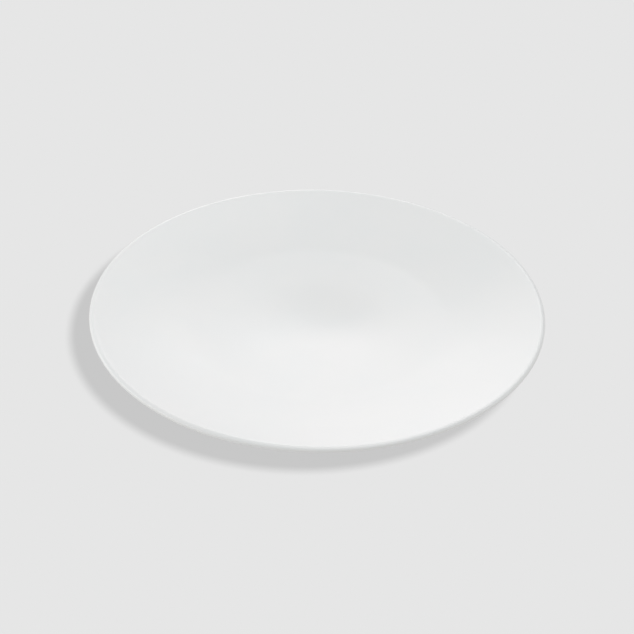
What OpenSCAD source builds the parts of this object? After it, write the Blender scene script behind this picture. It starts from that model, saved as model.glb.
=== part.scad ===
// Coupe dinner plate: one fired ceramic body with no rim shelf, and the two
// coats of white glaze that the bare bearing edge of its foot ring parts.
// Millimetres, +Z up, origin on the table under the plate's centre.

/* [Plate] */
// Overall diameter, over the glaze
plate_d = 270; // [250:1:300]
// Overall height, from the table to the top of the rim
plate_h = 22; // [20:0.5:27]

/* [Face] */
// Diameter of the shallow hollow in the middle of the face
hollow_d = 86; // [76:1:110]
// Diameter of the hollow's rounded bottom, inside its straight sides
hollow_round_d = 48; // [20:1:60]
// Drop from the edge of the hollow to the centre of the face
hollow_drop = 2.7; // [0.8:0.1:3.4]
// Width of the soft turn at the edge of the hollow
hollow_turn = 5; // [2:0.5:12]
// Diameter of the well, where the floor turns up into the wall
well_d = 156; // [140:1:180]
// Rise of the floor from the edge of the hollow to the edge of the well
floor_rise = 2.3; // [0.8:0.1:3]
// Width of the soft turn at the edge of the well
well_turn = 6; // [2:0.5:12]

/* [Wall and rim] */
// Thickness at the centre, with the glaze on both sides
floor_t = 4.5; // [4:0.1:6]
// Thickness at the edge of the well, where the wall turns up over the foot
turn_t = 6.2; // [5:0.1:7.5]
// Thickness of the wall where it runs into the rounded rim
rim_t = 3.9; // [2.6:0.1:4.6]
// Length of the rounded rim, measured along the wall
rim_roll = 3.1; // [2:0.1:6]

/* [Foot ring] */
// Outer diameter of the bearing edge
foot_d = 160; // [140:1:180]
// Width of the foot ring at the bearing edge
foot_w = 3.6; // [3:0.1:6]
// Lean of each flank, in degrees, so that the mould lets go
foot_draft = 9; // [2:1:16]
// Radius of the bearing edge's two corners
foot_round = 0.9; // [0.4:0.1:1.2]
// Size of the blend at the root of each flank
root_blend = 2.2; // [1:0.1:2.6]
// Clearance between the table and the centre of the base
base_clear = 2.6; // [2:0.1:4]

/* [Glaze] */
// Thickness of the fired glaze
glaze_t = 0.3; // [0.2:0.05:0.5]
// Height above the table up to which the foot is wiped free of glaze
wipe_h = 1.5; // [1.3:0.1:2.2]

/* [Hidden] */

$fn = 128;

body_colour = [0.84, 0.80, 0.74];
glaze_colour = [0.95, 0.96, 0.96];

// Slope of the face at the rim, as a share of the wall's mean slope
rim_slope_share = 1.26;
// Most of a flank's glazed height that the blend at its root may take
blend_share = 0.85;
// Steps along each stretch of the outline
base_steps = 10;
under_steps = 18;
roll_steps = 18;
face_steps = 8;
blend_steps = 6;
corner_steps = 5;

hollow_r = hollow_d / 2;
well_r = well_d / 2;
foot_outer_r = foot_d / 2;
foot_inner_r = foot_outer_r - foot_w;
lean = tan(foot_draft);

// Heights of the fired body's own surface, under the glaze
face_centre_z = base_clear + floor_t - glaze_t;
face_hollow_z = face_centre_z + hollow_drop;
face_well_z = face_hollow_z + floor_rise;
base_centre_z = base_clear + glaze_t;
base_well_z = face_well_z - turn_t + 2 * glaze_t;

// The rim is a half ellipse, tilted by the angle at which the wall meets it
rim_tilt = atan(rim_slope_share * (plate_h - glaze_t - face_well_z)
    / (plate_d / 2 - rim_roll - well_r));
roll_reach = rim_roll - glaze_t;
roll_half_t = rim_t / 2 - glaze_t;
roll_centre = [
    plate_d / 2 - glaze_t
        - norm([roll_reach * cos(rim_tilt), roll_half_t * sin(rim_tilt)]),
    plate_h - glaze_t
        - norm([roll_reach * sin(rim_tilt), roll_half_t * cos(rim_tilt)])
];

// The rim's section at an angle from its outermost point, [radius, height]
function rim_point(angle) = roll_centre
    + roll_reach * cos(angle) * [cos(rim_tilt), sin(rim_tilt)]
    + roll_half_t * sin(angle) * [-sin(rim_tilt), cos(rim_tilt)];

face_end = rim_point(90);
under_end = rim_point(-90);

// Slopes of the hollow's straight sides, of the floor round it, and of the wall
// where it leaves the well. Further out the wall steepens evenly to the rim.
hollow_slope = hollow_drop / (hollow_r - hollow_round_d / 4);
floor_slope = floor_rise / (well_r - hollow_r);
wall_run = face_end[0] - well_r - well_turn / 2;
wall_slope = (2 * (face_end[1] - face_well_z) - tan(rim_tilt) * wall_run)
    / (well_turn + wall_run);

// The face's slope at radii, [radius, slope]. Between two of them it changes
// evenly, so the face climbs by their mean slope.
face_slopes = [
    [0, 0],
    [hollow_round_d / 2, hollow_slope],
    [hollow_r - hollow_turn / 2, hollow_slope],
    [hollow_r + hollow_turn / 2, floor_slope],
    [well_r - well_turn / 2, floor_slope],
    [well_r + well_turn / 2, wall_slope],
    [face_end[0], tan(rim_tilt)]
];
function climb(slopes, i) = i == 0 ? 0
    : climb(slopes, i - 1)
        + (slopes[i][0] - slopes[i - 1][0])
            * (slopes[i][1] + slopes[i - 1][1]) / 2;

// Stations [radius, height, slope], which a surface passes through smoothly
face_stations = [
    for (i = [0:len(face_slopes) - 1])
        [face_slopes[i][0], face_centre_z + climb(face_slopes, i), face_slopes[i][1]]
];

// Slope of the straight line between two points of the section
function slope_between(a, b) = (b[1] - a[1]) / (b[0] - a[0]);
// A slope for the point where two slopes meet: level where the curve turns back,
// and otherwise one that keeps a rising curve rising
function shared_slope(a, b) = a * b <= 0 ? 0 : 2 * a * b / (a + b);

under_centre = [0, base_centre_z];
under_well = [well_r, base_well_z];
under_stations = [
    [under_centre[0], under_centre[1], 0],
    [under_well[0], under_well[1], shared_slope(
        slope_between(under_centre, under_well),
        slope_between(under_well, under_end))],
    [under_end[0], under_end[1], tan(rim_tilt)]
];

// Height of a surface at a radius: a cubic between each pair of stations
function surface_z(stations, r, i = 0) =
    i < len(stations) - 2 && r > stations[i + 1][0]
        ? surface_z(stations, r, i + 1)
        : let(
            a = stations[i],
            b = stations[i + 1],
            span = b[0] - a[0],
            t = (r - a[0]) / span)
        a[1] * (1 + 2 * t) * (1 - t) ^ 2
            + b[1] * (3 - 2 * t) * t ^ 2
            + span * (a[2] * t * (1 - t) ^ 2 - b[2] * (1 - t) * t ^ 2);

// Points of a surface from one radius to another, without the last
function stretch(stations, from_r, to_r, steps) = [
    for (i = [0:steps - 1])
        let(r = from_r + (to_r - from_r) * i / steps)
        [r, surface_z(stations, r)]
];

// Points of a blend that leaves a towards corner and arrives at b from it,
// without the last
function blend(a, corner, b) = [
    for (i = [0:blend_steps - 1])
        let(t = i / blend_steps)
        a * (1 - t) ^ 2 + corner * 2 * t * (1 - t) + b * t ^ 2
];

// Points of an arc, from one angle to another
function arc(centre, radius, from_a, to_a) = [
    for (i = [0:corner_steps])
        let(angle = from_a + (to_a - from_a) * i / corner_steps)
        centre + radius * [cos(angle), sin(angle)]
];

// Where a flank of the foot, leaning by side, meets the underside
function root_corner(edge_r, side) = let(
        near_r = edge_r + side * surface_z(under_stations, edge_r),
        z = surface_z(under_stations, near_r))
    [edge_r + side * z, z];
function flank_point(edge_r, side, z) = [edge_r + side * z, z];

// A root's blend, which leaves part of the glazed flank straight
function blend_size(root) =
    min(root_blend, blend_share * (root[1] - wipe_h));

inner_root = root_corner(foot_inner_r, -lean);
outer_root = root_corner(foot_outer_r, lean);
inner_blend = blend_size(inner_root);
outer_blend = blend_size(outer_root);
inner_root_r = inner_root[0] - inner_blend;
outer_root_r = outer_root[0] + outer_blend;
inner_flank_top =
    flank_point(foot_inner_r, -lean, inner_root[1] - inner_blend);
outer_flank_top =
    flank_point(foot_outer_r, lean, outer_root[1] - outer_blend);
// From the middle of a corner's arc in to the edge that it rounds
corner_inset = foot_round * (1 / cos(foot_draft) - lean);

// The fired body's outline, in three runs from the base's centre, round the
// foot and the rim, to the face's centre
base_run = concat(
    stretch(under_stations, 0, inner_root_r, base_steps),
    blend(
        [inner_root_r, surface_z(under_stations, inner_root_r)],
        inner_root,
        inner_flank_top),
    [inner_flank_top, flank_point(foot_inner_r, -lean, wipe_h)]
);
foot_run = concat(
    arc([foot_inner_r + corner_inset, foot_round], foot_round,
        180 + foot_draft, 270),
    arc([foot_outer_r - corner_inset, foot_round], foot_round,
        -90, -foot_draft)
);
outer_run = concat(
    [flank_point(foot_outer_r, lean, wipe_h)],
    blend(
        outer_flank_top,
        outer_root,
        [outer_root_r, surface_z(under_stations, outer_root_r)]),
    stretch(under_stations, outer_root_r, under_end[0], under_steps),
    [for (i = [0:roll_steps - 1]) rim_point(-90 + 180 * i / roll_steps)],
    [for (i = [len(face_stations) - 1:-1:1])
        each stretch(face_stations, face_stations[i][0], face_stations[i - 1][0],
            face_steps)],
    [[0, face_centre_z]]
);

// The direction from one point to the next, and the normal to its right
function direction(a, b) = (b - a) / norm(b - a);
function right_of(v) = [v[1], -v[0]];

// A run moved out to its right by a thickness. Where it starts or ends on the
// axis, it goes on as its own mirror image, so it stays on the axis.
function moved_out(run, thickness) = let(last = len(run) - 1) [
    for (i = [0:last])
        let(
            ahead = direction(run[min(i, last - 1)], run[min(i, last - 1) + 1]),
            behind = direction(run[max(i, 1) - 1], run[max(i, 1)]),
            into = i == 0 && run[i][0] == 0 ? [ahead[0], -ahead[1]] : behind,
            out = i == last && run[i][0] == 0 ? [behind[0], -behind[1]] : ahead,
            sum = right_of(into) + right_of(out))
        run[i] + thickness * sum / (1 + right_of(into) * right_of(out))
];
function backwards(run) = [for (i = [len(run) - 1:-1:0]) run[i]];

// A coat of glaze on one run of the body's outline
module coat(run) {
    color(glaze_colour)
        rotate_extrude()
            polygon(concat(run, backwards(moved_out(run, glaze_t))));
}

// The fired clay, with the bare bearing edge that the plate stands on
module ceramic_body() {
    color(body_colour)
        rotate_extrude()
            polygon(concat(base_run, foot_run, outer_run));
}

// The coat on the eating face, round the rim and down to the foot
module face_glaze() {
    coat(outer_run);
}

// The coat on the base, inside the foot ring
module base_glaze() {
    coat(base_run);
}

ceramic_body();
face_glaze();
base_glaze();
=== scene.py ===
"""Coupe dinner plate: the looks. Metres, in the part's own frame. Its section is in millimetres."""

import math

import bpy
import numpy as np
from mathutils import Matrix, Vector


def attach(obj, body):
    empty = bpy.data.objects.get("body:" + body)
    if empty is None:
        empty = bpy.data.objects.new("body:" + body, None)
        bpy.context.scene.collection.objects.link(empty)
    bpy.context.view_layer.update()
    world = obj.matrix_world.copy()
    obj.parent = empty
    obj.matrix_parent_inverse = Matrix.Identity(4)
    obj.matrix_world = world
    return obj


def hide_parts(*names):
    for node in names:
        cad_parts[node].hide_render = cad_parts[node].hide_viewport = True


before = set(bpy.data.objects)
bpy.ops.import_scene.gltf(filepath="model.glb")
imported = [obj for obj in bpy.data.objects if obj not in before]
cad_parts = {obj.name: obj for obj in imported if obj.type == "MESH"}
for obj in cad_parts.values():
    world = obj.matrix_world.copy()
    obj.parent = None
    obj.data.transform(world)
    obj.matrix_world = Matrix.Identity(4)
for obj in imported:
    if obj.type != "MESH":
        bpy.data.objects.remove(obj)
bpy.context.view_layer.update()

MM = 0.001
MICRON = 0.001 * MM
PHOTO_SIDE_PX = 634

# The plate's own sizes in millimetres, as the part has them
PLATE_D = 270.0
PLATE_H = 22.0
HOLLOW_D = 86.0
HOLLOW_ROUND_D = 48.0
HOLLOW_DROP = 2.7
HOLLOW_TURN = 5.0
WELL_D = 156.0
FLOOR_RISE = 2.3
WELL_TURN = 6.0
FLOOR_T = 4.5
TURN_T = 6.2
RIM_T = 3.9
RIM_ROLL = 3.1
FOOT_D = 160.0
FOOT_W = 3.6
FOOT_DRAFT = math.radians(9)
FOOT_ROUND = 0.9
ROOT_BLEND = 2.2
BASE_CLEAR = 2.6
GLAZE_T = 0.3
WIPE_H = 1.5
RIM_SLOPE_SHARE = 1.26

# The glaze's wiped edge, in millimetres: it swells into a bead, rounds off, and strays a little
# up and down. Each wave of it has its count round the foot, its size and its turn.
BEAD_SWELL_SHARE = 0.25
BEAD_AT = 0.7
BEAD_REACH = 0.45
EDGE_ROUND = 0.4
EDGE_STRAY_REACH = 1.6
EDGE_WAVES = ((3, 0.05, 0.4), (7, 0.05, 2.1), (17, 0.03, 4.0), (31, 0.02, 1.3))
# The glaze is this much thinner than in the part, so that it stays inside the part's box
GLAZE_EASE = 0.02
# A point of the section closer to the axis than this becomes one vertex instead of a ring
ON_AXIS_R = 0.001

AROUND = 360
RIM_STEPS = 40
# Steps in each stretch of the face, from the centre out
FACE_STEPS = (20, 10, 8, 14, 8, 42)
UNDER_STEPS = 36
BLEND_STEPS = 10
CORNER_STEPS = 10
FLANK_STEPS = 18
# The faces where body and glaze touch take one point of the section in this many
HIDDEN_STRIDE = 3


# Section: the part's own curves, with finer steps

hollow_r = HOLLOW_D / 2
well_r = WELL_D / 2
face_centre_z = BASE_CLEAR + FLOOR_T - GLAZE_T
face_well_z = face_centre_z + HOLLOW_DROP + FLOOR_RISE
base_centre_z = BASE_CLEAR + GLAZE_T
base_well_z = face_well_z - TURN_T + 2 * GLAZE_T
rim_slope = RIM_SLOPE_SHARE * (PLATE_H - GLAZE_T - face_well_z) / (PLATE_D / 2 - RIM_ROLL - well_r)
rim_tilt = math.atan(rim_slope)
roll_reach = RIM_ROLL - GLAZE_T
roll_half_t = RIM_T / 2 - GLAZE_T
along_wall = np.array([math.cos(rim_tilt), math.sin(rim_tilt)])
across_wall = np.array([-math.sin(rim_tilt), math.cos(rim_tilt)])
roll_centre = np.array([
    PLATE_D / 2 - GLAZE_T - math.hypot(roll_reach * along_wall[0], roll_half_t * across_wall[0]),
    PLATE_H - GLAZE_T - math.hypot(roll_reach * along_wall[1], roll_half_t * across_wall[1]),
])


def rim_points():
    """The rounded rim, from the underside's end round to the face's end."""
    angles = np.radians(np.linspace(-90, 90, RIM_STEPS))[:, None]
    out = roll_reach * np.cos(angles) * along_wall
    up = roll_half_t * np.sin(angles) * across_wall
    return roll_centre + out + up


def climbing(start_z, slopes):
    """[radius, height, slope] rows from [radius, slope] ones. The slope changes evenly between."""
    slopes = np.array(slopes)
    climbs = np.diff(slopes[:, 0]) * (slopes[1:, 1] + slopes[:-1, 1]) / 2
    heights = start_z + np.concatenate([[0], np.cumsum(climbs)])
    return np.column_stack([slopes[:, 0], heights, slopes[:, 1]])


def surface(rows, radii):
    """Points [radius, height] of the smooth surface through the rows."""
    radii = np.asarray(radii, float)
    k = np.clip(np.searchsorted(rows[:, 0], radii, side="right") - 1, 0, len(rows) - 2)
    a, b = rows[k], rows[k + 1]
    span = b[:, 0] - a[:, 0]
    t = (radii - a[:, 0]) / span
    height = (
        a[:, 1] * (1 + 2 * t) * (1 - t) ** 2
        + b[:, 1] * (3 - 2 * t) * t ** 2
        + span * (a[:, 2] * t * (1 - t) ** 2 - b[:, 2] * (1 - t) * t ** 2)
    )
    return np.column_stack([radii, height])


rim = rim_points()
face_end_r, face_end_z = rim[-1]
under_end_r, under_end_z = rim[0]

hollow_slope = HOLLOW_DROP / (hollow_r - HOLLOW_ROUND_D / 4)
floor_slope = FLOOR_RISE / (well_r - hollow_r)
wall_run = face_end_r - well_r - WELL_TURN / 2
wall_slope = (2 * (face_end_z - face_well_z) - rim_slope * wall_run) / (WELL_TURN + wall_run)
face_rows = climbing(face_centre_z, [
    (0, 0),
    (HOLLOW_ROUND_D / 2, hollow_slope),
    (hollow_r - HOLLOW_TURN / 2, hollow_slope),
    (hollow_r + HOLLOW_TURN / 2, floor_slope),
    (well_r - WELL_TURN / 2, floor_slope),
    (well_r + WELL_TURN / 2, wall_slope),
    (face_end_r, rim_slope),
])

inner_climb = (base_well_z - base_centre_z) / well_r
outer_climb = (under_end_z - base_well_z) / (under_end_r - well_r)
under_rows = np.array([
    (0, base_centre_z, 0),
    (well_r, base_well_z, 2 * inner_climb * outer_climb / (inner_climb + outer_climb)),
    (under_end_r, under_end_z, rim_slope),
])


def face_radii():
    """Radii of the face's points, from the rim in to the centre."""
    stretches = zip(face_rows[:-1, 0], face_rows[1:, 0], FACE_STEPS)
    radii = [np.linspace(a, b, steps, endpoint=False) for a, b, steps in stretches]
    return np.concatenate([*radii, [face_end_r]])[::-1]


def under_z(radius):
    return surface(under_rows, [radius])[0, 1]


def flank(edge_r, side, z):
    """A point on a flank of the foot ring, which leans out by side."""
    return np.array([edge_r + side * z, z])


def flank_root(edge_r, side):
    """Where a flank of the foot ring meets the underside."""
    return flank(edge_r, side, under_z(edge_r + side * under_z(edge_r)))


def glazed_flank(edge_r, side, root):
    """The straight part of a flank, from the wiped edge up to the blend at its root."""
    heights = np.linspace(WIPE_H, root[1] - ROOT_BLEND, FLANK_STEPS)
    return np.array([flank(edge_r, side, z) for z in heights])


def blend(a, corner, b):
    t = np.linspace(0, 1, BLEND_STEPS)[:, None]
    return a * (1 - t) ** 2 + corner * 2 * t * (1 - t) + b * t ** 2


def arc(centre, radius, from_a, to_a):
    angles = np.linspace(from_a, to_a, CORNER_STEPS)[:, None]
    return np.array(centre) + radius * np.hstack([np.cos(angles), np.sin(angles)])


lean = math.tan(FOOT_DRAFT)
outer_edge_r = FOOT_D / 2
inner_edge_r = outer_edge_r - FOOT_W
inner_root = flank_root(inner_edge_r, -lean)
outer_root = flank_root(outer_edge_r, lean)
inner_flank = glazed_flank(inner_edge_r, -lean, inner_root)
outer_flank = glazed_flank(outer_edge_r, lean, outer_root)
inner_root_r = inner_root[0] - ROOT_BLEND
outer_root_r = outer_root[0] + ROOT_BLEND
corner_inset = FOOT_ROUND * (1 / math.cos(FOOT_DRAFT) - lean)

base_run = np.vstack([
    surface(under_rows, np.linspace(0, inner_root_r, UNDER_STEPS))[:-1],
    blend(surface(under_rows, [inner_root_r])[0], inner_root, inner_flank[-1]),
    inner_flank[-2::-1],
])
foot_run = np.vstack([
    arc([inner_edge_r + corner_inset, FOOT_ROUND], FOOT_ROUND, math.pi + FOOT_DRAFT, 1.5 * math.pi),
    arc([outer_edge_r - corner_inset, FOOT_ROUND], FOOT_ROUND, -math.pi / 2, -FOOT_DRAFT),
])
outer_run = np.vstack([
    outer_flank[:-1],
    blend(outer_flank[-1], outer_root, surface(under_rows, [outer_root_r])[0]),
    surface(under_rows, np.linspace(outer_root_r, under_end_r, UNDER_STEPS))[1:-1],
    rim,
    surface(face_rows, face_radii())[1:],
])


def hidden(run):
    """A run with fewer points, for the faces where body and glaze touch."""
    return np.vstack([run[:-1:HIDDEN_STRIDE], run[-1:]])


def moved_out(run, thickness):
    """A run moved out to its right. Where it meets the axis it stays on the axis."""
    way = np.diff(run, axis=0)
    way /= np.linalg.norm(way, axis=1)[:, None]
    mirrored = np.array([1, -1])
    first = way[0] * mirrored if run[0, 0] == 0 else way[0]
    last = way[-1] * mirrored if run[-1, 0] == 0 else way[-1]
    into, out = np.vstack([first, way]), np.vstack([way, last])
    normals = [np.column_stack([w[:, 1], -w[:, 0]]) for w in (into, out)]
    total = normals[0] + normals[1]
    return run + (thickness / (1 + (normals[0] * normals[1]).sum(axis=1)))[:, None] * total


def from_wiped_edge(run):
    """Each point's distance from the end of the run at the wiped edge."""
    edge = run[np.argmin(run[:, 1])]
    return np.linalg.norm(run - edge, axis=1)


def glaze_thickness(run):
    away = from_wiped_edge(run)
    rounded = np.sqrt(1 - (1 - np.clip(away / EDGE_ROUND, 0, 1)) ** 2)
    swell = 1 + BEAD_SWELL_SHARE * np.exp(-((away - BEAD_AT) / BEAD_REACH) ** 2)
    return (GLAZE_T - GLAZE_EASE) * rounded * swell


# Meshes

turns = np.linspace(0, 2 * math.pi, AROUND, endpoint=False)


def stray(run):
    """How far a run's points move along their flank, [radius, height]: only near the wiped edge."""
    waves = sum(size * np.sin(count * turns + turn) for count, size, turn in EDGE_WAVES)
    near = np.clip(1 - from_wiped_edge(run) / EDGE_STRAY_REACH, 0, 1) ** 2
    up_flank = np.array([lean if run[:, 0].max() > outer_edge_r else -lean, 1])
    return near[:, None, None] * waves[None, :, None] * up_flank


def lathe(name, section, strayed=0):
    """A closed solid turned from a section [radius, height], whose ends may lie on the axis."""
    rounds = np.broadcast_to(section[:, None, :] + strayed, (len(section), AROUND, 2)) * MM
    verts, rings = [], []
    for (radius, height), ring in zip(section, rounds):
        if radius < ON_AXIS_R:
            rings.append([len(verts)])
            verts.append((0, 0, height * MM))
        else:
            rings.append(range(len(verts), len(verts) + AROUND))
            verts += list(zip(ring[:, 0] * np.cos(turns), ring[:, 0] * np.sin(turns), ring[:, 1]))
    faces = []
    for low, high in zip(rings, rings[1:] + rings[:1]):
        for i in range(AROUND):
            j = (i + 1) % AROUND
            if len(low) > 1 and len(high) > 1:
                faces.append((low[i], low[j], high[j], high[i]))
            elif len(low) > 1:
                faces.append((low[i], low[j], high[0]))
            elif len(high) > 1:
                faces.append((low[0], high[j], high[i]))
    mesh = bpy.data.meshes.new(name)
    mesh.from_pydata(verts, [], faces)
    mesh.validate()
    mesh.shade_smooth()
    piece = bpy.data.objects.new(name, mesh)
    bpy.context.scene.collection.objects.link(piece)
    return piece


def coat(name, run):
    """A coat of glaze on one run of the body's outline. Its two faces meet at the wiped edge."""
    inner = hidden(run)[::-1]
    off_edge = from_wiped_edge(inner) > 0
    section = np.vstack([moved_out(run, glaze_thickness(run)), inner[off_edge]])
    return lathe(name, section, np.vstack([stray(run), stray(inner)[off_edge]]))


body = lathe("fired_body", np.vstack([hidden(base_run), foot_run, hidden(outer_run)]))
face_coat = coat("glaze_over_face", outer_run)
base_coat = coat("glaze_on_base", base_run)


# Materials

CERAMIC_IOR = 1.5
# A noise's values lie mostly between these two
NOISE_RANGE = (0.3, 0.7)

# Colours are linear. The glaze's own white drifts a little between its two, and turns thin and warm
# over the rim's edge and at the wiped edge.
GLAZE_COOL = (0.864, 0.868, 0.868, 1)
GLAZE_WARM = (0.876, 0.874, 0.871, 1)
GLAZE_THIN = (0.860, 0.848, 0.818, 1)
GLAZE_DRIFT_SIZE = 35 * MM
THIN_FROM_R = (PLATE_D / 2 - 0.9) * MM
THIN_TO_R = (PLATE_D / 2 - 0.1) * MM
THIN_RIM_SHARE = 0.4
THIN_FROM_Z = (WIPE_H + 0.9) * MM
THIN_TO_Z = (WIPE_H + 0.1) * MM
GLAZE_ROUGHNESS = (0.199, 0.225)
GLAZE_ROUGHNESS_SIZE = 12 * MM
PEEL_SIZE = 1.6 * MM
PEEL_RISE = 4 * MICRON
RIPPLE_SIZE = 14 * MM
RIPPLE_RISE = 8 * MICRON

CLAY_DARK = (0.675, 0.628, 0.545, 1)
CLAY_PALE = (0.745, 0.706, 0.630, 1)
CLAY_GROUND = (0.640, 0.610, 0.555, 1)
CLAY_ROUGHNESS = (0.80, 0.92)
CLAY_GROUND_ROUGHNESS = 0.6
CLAY_GRAIN_SIZE = 0.3 * MM
CLAY_GRAIN_RISE = 30 * MICRON
# The bearing edge is ground smoother up to here
GROUND_TO_Z = 0.08 * MM
GROUND_FADE_Z = 0.22 * MM


def material(name):
    made = bpy.data.materials.new(name)
    made.use_nodes = True
    return made, made.node_tree.nodes, made.node_tree.links


def place(nodes):
    """Where a point lies on the plate, in metres."""
    return nodes.new("ShaderNodeTexCoord").outputs["Object"]


def noise(nodes, links, size):
    """A smooth random value round a half, with features of this size."""
    made = nodes.new("ShaderNodeTexNoise")
    made.inputs["Scale"].default_value = 1 / size
    links.new(place(nodes), made.inputs["Vector"])
    return made.outputs[0]


def ranged(nodes, links, value, start, end, to_start=0, to_end=1):
    """A value carried smoothly from one range to another, and held within it."""
    made = nodes.new("ShaderNodeMapRange")
    made.interpolation_type = "SMOOTHSTEP"
    limits = {"From Min": start, "From Max": end, "To Min": to_start, "To Max": to_end}
    for socket, number in limits.items():
        made.inputs[socket].default_value = number
    links.new(value, made.inputs["Value"])
    return made.outputs["Result"]


def mixed(nodes, links, share, a, b):
    """Two colours mixed by a share. Either may be an output or plain numbers."""
    made = nodes.new("ShaderNodeMix")
    made.data_type = "RGBA"
    links.new(share, made.inputs["Factor"])
    sockets = [socket for socket in made.inputs if socket.type == "RGBA"]
    for socket, colour in zip(sockets, (a, b)):
        if isinstance(colour, tuple):
            socket.default_value = colour
        else:
            links.new(colour, socket)
    return next(socket for socket in made.outputs if socket.type == "RGBA")


def bumped(nodes, links, height, rise, normal=None):
    """The normal over bumps of this rise, on top of another normal if there is one."""
    made = nodes.new("ShaderNodeBump")
    made.inputs["Distance"].default_value = rise
    links.new(height, made.inputs["Height"])
    if normal:
        links.new(normal, made.inputs["Normal"])
    return made.outputs["Normal"]


def radius_and_height(nodes, links):
    parts = nodes.new("ShaderNodeSeparateXYZ")
    links.new(place(nodes), parts.inputs[0])
    flat = nodes.new("ShaderNodeCombineXYZ")
    links.new(parts.outputs["X"], flat.inputs["X"])
    links.new(parts.outputs["Y"], flat.inputs["Y"])
    length = nodes.new("ShaderNodeVectorMath")
    length.operation = "LENGTH"
    links.new(flat.outputs[0], length.inputs[0])
    return length.outputs["Value"], parts.outputs["Z"]


def combined(nodes, links, operation, a, b):
    """Two values combined by an operation. The second may be an output or a plain number."""
    made = nodes.new("ShaderNodeMath")
    made.operation = operation
    links.new(a, made.inputs[0])
    if isinstance(b, (int, float)):
        made.inputs[1].default_value = b
    else:
        links.new(b, made.inputs[1])
    return made.outputs[0]


def shaders_mixed(nodes, links, share, a, b=None):
    """Two shaders mixed by a share. Without the second, the first is dimmed by the share."""
    made = nodes.new("ShaderNodeMixShader")
    links.new(share, made.inputs[0])
    links.new(a, made.inputs[1])
    if b:
        links.new(b, made.inputs[2])
    return made.outputs[0]


def glaze_material():
    made, nodes, links = material("white_glaze")
    shader = nodes["Principled BSDF"]
    shader.inputs["IOR"].default_value = CERAMIC_IOR
    radius, height = radius_and_height(nodes, links)
    at_rim = ranged(nodes, links, radius, THIN_FROM_R, THIN_TO_R, 0, THIN_RIM_SHARE)
    at_wipe = ranged(nodes, links, height, THIN_TO_Z, THIN_FROM_Z, 1, 0)
    drift = ranged(nodes, links, noise(nodes, links, GLAZE_DRIFT_SIZE), *NOISE_RANGE)
    white = mixed(nodes, links, drift, GLAZE_COOL, GLAZE_WARM)
    thin = combined(nodes, links, "MAXIMUM", at_rim, at_wipe)
    links.new(mixed(nodes, links, thin, white, GLAZE_THIN), shader.inputs["Base Color"])
    patches = noise(nodes, links, GLAZE_ROUGHNESS_SIZE)
    roughness = ranged(nodes, links, patches, *NOISE_RANGE, *GLAZE_ROUGHNESS)
    links.new(roughness, shader.inputs["Roughness"])
    ripple = bumped(nodes, links, noise(nodes, links, RIPPLE_SIZE), RIPPLE_RISE)
    peel = bumped(nodes, links, noise(nodes, links, PEEL_SIZE), PEEL_RISE, ripple)
    links.new(peel, shader.inputs["Normal"])
    return made


def clay_material():
    made, nodes, links = material("bare_ceramic")
    shader = nodes["Principled BSDF"]
    shader.inputs["IOR"].default_value = CERAMIC_IOR
    grain = noise(nodes, links, CLAY_GRAIN_SIZE)
    spread = ranged(nodes, links, grain, *NOISE_RANGE)
    height = radius_and_height(nodes, links)[1]
    ground = ranged(nodes, links, height, GROUND_TO_Z, GROUND_FADE_Z, 1, 0)
    clay = mixed(nodes, links, spread, CLAY_DARK, CLAY_PALE)
    links.new(mixed(nodes, links, ground, clay, CLAY_GROUND), shader.inputs["Base Color"])
    fired = ranged(nodes, links, grain, *NOISE_RANGE, *CLAY_ROUGHNESS)
    smoothed = nodes.new("ShaderNodeMix")
    smoothed.inputs["B"].default_value = CLAY_GROUND_ROUGHNESS
    links.new(ground, smoothed.inputs["Factor"])
    links.new(fired, smoothed.inputs["A"])
    links.new(smoothed.outputs["Result"], shader.inputs["Roughness"])
    links.new(bumped(nodes, links, grain, CLAY_GRAIN_RISE), shader.inputs["Normal"])
    return made


glaze = glaze_material()
for piece in (face_coat, base_coat):
    piece.data.materials.append(glaze)
body.data.materials.append(clay_material())

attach(body, "root")
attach(face_coat, "root")
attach(base_coat, "root")
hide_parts("ceramic_body")
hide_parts("face_glaze")
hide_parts("base_glaze")


# Camera

# The photo's camera: its distance is a guess, and the rest fits the rim's outline
CAMERA_DISTANCE = 1.3
CAMERA_ELEVATION = math.radians(35.02)
CAMERA_ROLL = math.radians(1.16)
FOCAL_PX = 2203.2
AIM = Vector((-0.00015, -0.00926, PLATE_H * MM))
# Everything on the stage is closer to the camera than this
CAMERA_REACH = 20


def add_camera():
    forward = Vector((0, math.cos(CAMERA_ELEVATION), -math.sin(CAMERA_ELEVATION)))
    level = Vector((1, 0, 0))
    above = level.cross(forward)
    right = math.cos(CAMERA_ROLL) * level + math.sin(CAMERA_ROLL) * above
    up = -math.sin(CAMERA_ROLL) * level + math.cos(CAMERA_ROLL) * above
    data = bpy.data.cameras.new("camera")
    data.lens = FOCAL_PX * data.sensor_width / PHOTO_SIDE_PX
    data.clip_end = CAMERA_REACH
    camera = bpy.data.objects.new("camera", data)
    turn = Matrix((right, up, -forward)).transposed()
    camera.matrix_world = Matrix.Translation(AIM - forward * CAMERA_DISTANCE) @ turn.to_4x4()
    bpy.context.scene.collection.objects.link(camera)
    bpy.context.scene.camera = camera


add_camera()


# Stage: a pale floor that takes the plate's soft shadow, and the same grey behind it

def grey(level):
    """Linear value of an sRGB grey from 0 to 255."""
    s = level / 255
    return s / 12.92 if s <= 0.04045 else ((s + 0.055) / 1.055) ** 2.4


BACKGROUND_GREY = grey(230)
SHADOW_GREY = grey(200)
FLOOR_REFLECTANCE = 0.02
FLOOR_HALF_SIDE = 4.0
WORLD_LEVEL = 0.52
WORLD_TINT = (0.975, 1.0, 0.998, 1)
# Under the plate the floor's glow is darkened, a painted contact shadow, only where the plate comes
# this close to it
PAINTED_SHADOW_REACH = 8 * MM
# Share of the floor's light that doesn't reach the underside of the plate
HELD_BACK = 0.2


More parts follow.
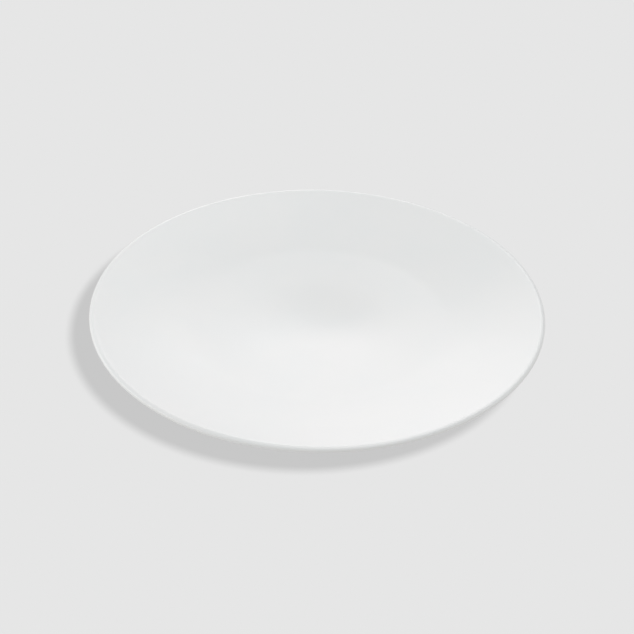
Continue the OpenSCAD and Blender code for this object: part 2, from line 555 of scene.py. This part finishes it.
def floor_material():
    """Seen from above it glows and takes the lamp's light, and near the plate its glow carries a
    painted contact shadow. Seen from below it is clear.
    """
    made, nodes, links = material("floor")
    nodes.remove(nodes["Principled BSDF"])
    lit = nodes.new("ShaderNodeBsdfDiffuse")
    lit.inputs["Color"].default_value = (FLOOR_REFLECTANCE,) * 3 + (1,)
    # Painted contact shadow: an ambient-occlusion node darkens the floor's glow where the plate is
    # close above it
    painted_contact_shadow = nodes.new("ShaderNodeAmbientOcclusion")
    painted_contact_shadow.inputs["Distance"].default_value = PAINTED_SHADOW_REACH
    painted_contact_shadow.inputs["Color"].default_value = (1, 1, 1, 1)
    glow = nodes.new("ShaderNodeEmission")
    glow.inputs["Strength"].default_value = SHADOW_GREY - FLOOR_REFLECTANCE * WORLD_LEVEL
    links.new(painted_contact_shadow.outputs["Color"], glow.inputs["Color"])
    both = nodes.new("ShaderNodeAddShader")
    links.new(lit.outputs[0], both.inputs[0])
    links.new(glow.outputs[0], both.inputs[1])
    bounced = nodes.new("ShaderNodeLightPath").outputs["Is Diffuse Ray"]
    held_back = combined(nodes, links, "MULTIPLY", bounced, HELD_BACK)
    dimmed = shaders_mixed(nodes, links, held_back, both.outputs[0])
    clear = nodes.new("ShaderNodeBsdfTransparent")
    from_below = nodes.new("ShaderNodeNewGeometry").outputs["Backfacing"]
    one_sided = shaders_mixed(nodes, links, from_below, dimmed, clear.outputs[0])
    links.new(one_sided, nodes["Material Output"].inputs["Surface"])
    return made


def add_floor():
    corners = [(x, y, 0) for x, y in ((-1, -1), (1, -1), (1, 1), (-1, 1))]
    mesh = bpy.data.meshes.new("floor")
    mesh.from_pydata([Vector(c) * FLOOR_HALF_SIDE for c in corners], [], [(0, 1, 2, 3)])
    mesh.materials.append(floor_material())
    made = bpy.data.objects.new("floor", mesh)
    bpy.context.scene.collection.objects.link(made)
    return made


def add_world():
    """An even, slightly cool light. The camera and the plate's gloss see the backdrop's grey."""
    world = bpy.data.worlds.new("studio")
    world.use_nodes = True
    nodes, links = world.node_tree.nodes, world.node_tree.links
    seen = nodes.new("ShaderNodeBackground")
    seen.inputs["Color"].default_value = (BACKGROUND_GREY,) * 3 + (1,)
    light = nodes["Background"]
    light.inputs["Color"].default_value = WORLD_TINT
    light.inputs["Strength"].default_value = WORLD_LEVEL
    path = nodes.new("ShaderNodeLightPath")
    seen_by = path.outputs["Is Camera Ray"]
    for ray in ("Is Glossy Ray", "Is Transmission Ray"):
        seen_by = combined(nodes, links, "MAXIMUM", seen_by, path.outputs[ray])
    either = shaders_mixed(nodes, links, seen_by, light.outputs[0], seen.outputs[0])
    links.new(either, nodes["World Output"].inputs["Surface"])
    bpy.context.scene.world = world


floor = add_floor()
add_world()


# Lights

def lit_only(light, name, *objects):
    """The light falls on these objects alone; everything still casts its shadow."""
    group = bpy.data.collections.new(name)
    for o in objects:
        group.objects.link(o)
    light.light_linking.receiver_collection = group


# The lamp that draws the plate's shadow hangs level over its right front
SHADOW_LAMP_AT = Vector((0.623, -0.632, 1.194))
SHADOW_LAMP_SIZES = (0.39, 0.54)
# A level lamp's light on a level floor fades with this power of the distance
LAMP_FADING = 4


def add_shadow_lamp():
    """A wide lamp that lights the floor alone, and as evenly far from it as near it."""
    away = SHADOW_LAMP_AT.length
    floor_light = (BACKGROUND_GREY - SHADOW_GREY) * math.pi / FLOOR_REFLECTANCE
    data = bpy.data.lights.new("shadow_lamp", "AREA")
    data.shape = "ELLIPSE"
    data.size, data.size_y = SHADOW_LAMP_SIZES
    data.energy = floor_light * math.pi * away ** LAMP_FADING / SHADOW_LAMP_AT.z ** 2
    data.use_nodes = True
    nodes, links = data.node_tree.nodes, data.node_tree.links
    length = nodes.new("ShaderNodeLightPath").outputs["Ray Length"]
    share = combined(nodes, links, "DIVIDE", length, away)
    evened = combined(nodes, links, "POWER", share, LAMP_FADING)
    links.new(evened, nodes["Emission"].inputs["Strength"])
    lamp = bpy.data.objects.new("shadow_lamp", data)
    lamp.location = SHADOW_LAMP_AT
    lamp.visible_camera = False
    bpy.context.scene.collection.objects.link(lamp)
    lit_only(lamp, "floor_only", floor)


SOFTBOX_DISTANCE = 6.0
# Each softbox's azimuth (0 behind the plate, 90 at its right), elevation, width, height and spin in
# degrees, and its radiance
SOFTBOXES = {
    "right_back": (19, 52, 16, 39, 13, 1.31),
    "back_strip": (-14, 33, 34, 10, -2, 0.77),
    "top": (43, 71, 23, 62, -61, 0.54),
    "low_back": (-4, 19, 28, 16, 57, 1.22),
    "back": (9, 36, 12, 14, 9, 1.18),
    "left": (-90, 28, 80, 24, 0, 1.73),
    "low_left": (-75, 8, 60, 14, 0, 1.01),
    "right": (100, 28, 60, 24, 0, 0.71),
}
# These two are slightly warm, against the cool light round the plate
WARM_SOFTBOXES = ("back_strip", "low_back")
WARM_TINT = (1.05, 0.98, 0.99)


def add_softbox(name, azimuth, elevation, width, height, spin, radiance):
    a, e, s = math.radians(azimuth), math.radians(elevation), math.radians(spin)
    towards = Vector((math.sin(a) * math.cos(e), math.cos(a) * math.cos(e), math.sin(e)))
    level = Vector((-math.cos(a), math.sin(a), 0))
    above = towards.cross(level)
    along = math.cos(s) * level - math.sin(s) * above
    across = towards.cross(along)
    data = bpy.data.lights.new(name, "AREA")
    data.shape = "RECTANGLE"
    data.size = 2 * SOFTBOX_DISTANCE * math.tan(math.radians(width) / 2)
    data.size_y = 2 * SOFTBOX_DISTANCE * math.tan(math.radians(height) / 2)
    data.energy = radiance * math.pi * data.size * data.size_y
    if name in WARM_SOFTBOXES:
        data.color = WARM_TINT
    box = bpy.data.objects.new(name, data)
    turn = Matrix((along, across, towards)).transposed()
    box.matrix_world = Matrix.Translation(towards * SOFTBOX_DISTANCE) @ turn.to_4x4()
    box.visible_camera = False
    bpy.context.scene.collection.objects.link(box)
    lit_only(box, name + "_on_plate", body, face_coat, base_coat)


add_shadow_lamp()
for name, values in SOFTBOXES.items():
    add_softbox(name, *values)

bpy.context.scene.view_settings.view_transform = "Standard"
